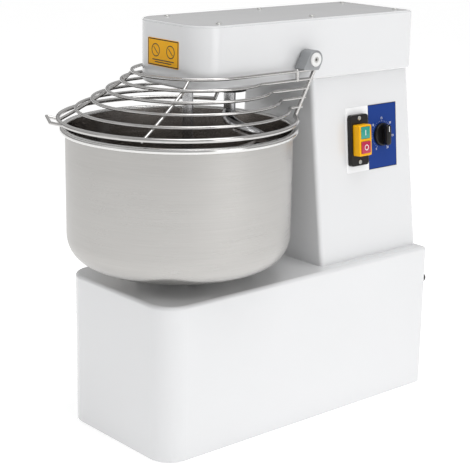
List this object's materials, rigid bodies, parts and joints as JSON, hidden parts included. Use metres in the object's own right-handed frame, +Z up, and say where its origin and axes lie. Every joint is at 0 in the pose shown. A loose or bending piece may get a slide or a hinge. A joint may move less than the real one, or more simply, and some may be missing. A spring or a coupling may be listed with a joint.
{
  "type": "spiral dough mixer",
  "caption": "Floor or bench spiral dough mixer with a turning bowl, spiral arm, fixed breaker bar, hinged wire guard, painted steel casing and side control panel.",
  "frame": {"origin": "centre of the machine's footprint box, on the floor under the rubber feet", "axes": "+Z up, -Y towards the bowl end, +X towards the side that carries the control panel"},
  "size_m": [0.3732, 0.647, 0.6515],
  "materials": {
    "white_paint": "smooth semi-gloss powder coat",
    "black_plastic": "moulded, fine grain",
    "black_steel": "black paint over steel",
    "rubber_black": "matt rubber",
    "zinc_steel": "zinc plated",
    "orange_label": "printed film",
    "chain_steel": "oiled chain steel",
    "cast_grey": "cast and machined",
    "bearing_steel": "ground bearing steel",
    "motor_paint": "blue-grey paint",
    "steel_bright": "brushed stainless steel",
    "grey_plastic": "moulded",
    "blue_label": "printed film, white and blue",
    "yellow_plastic": "moulded",
    "shaft_steel": "ground steel",
    "bronze": "cast bronze",
    "bowl_steel": "stainless steel, brushed round its axis",
    "guard_wire": "polished stainless wire",
    "lever_grey": "cast aluminium, satin",
    "white_plastic": "moulded",
    "green_plastic": "moulded",
    "red_plastic": "moulded"
  },
  "bodies": {
    "machine": {"base_shell": "white_paint", "base_rear_panel": "white_paint", "cable_gland": "black_plastic", "chassis": "black_steel", "rubber_feet": "rubber_black", "foot_bolts": "zinc_steel", "mast_frame": "black_steel", "head_arm": "black_steel", "column_shell": "white_paint", "column_rear_cover": "white_paint", "cover_screws": "zinc_steel", "head_shell": "white_paint", "head_cover": "white_paint", "head_cover_screws": "zinc_steel", "front_label": "orange_label", "upper_chain": "chain_steel", "lower_chain": "chain_steel", "shaft_top_housing": "cast_grey", "small_bearings": "bearing_steel", "gearbox_housing": "cast_grey", "gearbox_lid": "cast_grey", "motor_casing": "motor_paint", "fan_cowl": "motor_paint", "terminal_box": "motor_paint", "worm_bearings": "bearing_steel", "bowl_bearing_housing": "cast_grey", "bowl_bearings": "bearing_steel", "bowl_spindle_seal": "rubber_black", "spiral_housing": "cast_grey", "spiral_seal": "rubber_black", "breaker_bar": "steel_bright", "breaker_nut": "zinc_steel", "hinge_bushes": "black_plastic", "guard_switch": "grey_plastic", "control_label": "blue_label", "switch_box": "black_plastic", "switch_housing": "yellow_plastic", "switch_block": "grey_plastic", "timer_body": "grey_plastic"},
    "drive_shaft": {"tall_shaft": "shaft_steel", "upper_drive_sprocket": "chain_steel", "lower_drive_sprocket": "chain_steel", "worm_wheel": "bronze"},
    "motor_rotor_set": {"motor_rotor": "shaft_steel", "motor_fan": "grey_plastic"},
    "bowl_set": {"bowl": "bowl_steel", "bowl_hub": "cast_grey", "bowl_spindle": "shaft_steel", "bowl_sprocket": "chain_steel", "bowl_screws": "zinc_steel"},
    "spiral_set": {"spiral_tool": "steel_bright", "spiral_sprocket": "chain_steel"},
    "guard_set": {"guard_cage": "guard_wire", "guard_levers": "lever_grey", "hinge_pins": "zinc_steel", "lever_caps": "white_plastic", "guard_cam": "grey_plastic"},
    "start_button_set": {"start_button": "green_plastic"},
    "stop_button_set": {"stop_button": "red_plastic"},
    "timer_set": {"timer_knob": "grey_plastic"}
  },
  "joints": [
    {"name": "drive_spin", "type": "hinge", "parent": "machine", "child": "drive_shaft", "pos_m": [0, 0.17955, 0.3], "axis": [0, 0, 1], "continuous": true},
    {"name": "motor_spin", "type": "hinge", "parent": "machine", "child": "motor_rotor_set", "pos_m": [0.06, 0.07955, 0.135], "axis": [0, 1, 0], "continuous": true},
    {"name": "bowl_spin", "type": "hinge", "parent": "machine", "child": "bowl_set", "pos_m": [0, -0.13395, 0.3], "axis": [0, 0, 1], "continuous": true},
    {"name": "spiral_spin", "type": "hinge", "parent": "machine", "child": "spiral_set", "pos_m": [0, -0.03295, 0.5], "axis": [0, 0, 1], "continuous": true},
    {"name": "guard_hinge", "type": "hinge", "parent": "machine", "child": "guard_set", "pos_m": [0, 0.04805, 0.5895], "axis": [-1, 0, 0], "range_deg": [0, 80]},
    {"name": "start_press", "type": "slide", "parent": "machine", "child": "start_button_set", "axis": [-0.9958, 0, -0.0917], "range_m": [0, 0.003], "stiffness_N_per_m": 900, "springref_m": -0.001},
    {"name": "stop_press", "type": "slide", "parent": "machine", "child": "stop_button_set", "axis": [-0.9958, 0, -0.0917], "range_m": [0, 0.003], "stiffness_N_per_m": 900, "springref_m": -0.001},
    {"name": "timer_turn", "type": "hinge", "parent": "machine", "child": "timer_set", "pos_m": [0.0896, 0.22455, 0.44879], "axis": [0.9958, 0, 0.0917], "range_deg": [0, 300]}
  ],
  "couplings": [
    {"joint": "motor_spin", "follows": "drive_spin", "ratio": 12},
    {"joint": "bowl_spin", "follows": "drive_spin", "ratio": 0.22917},
    {"joint": "spiral_spin", "follows": "drive_spin", "ratio": 0.88889}
  ]
}
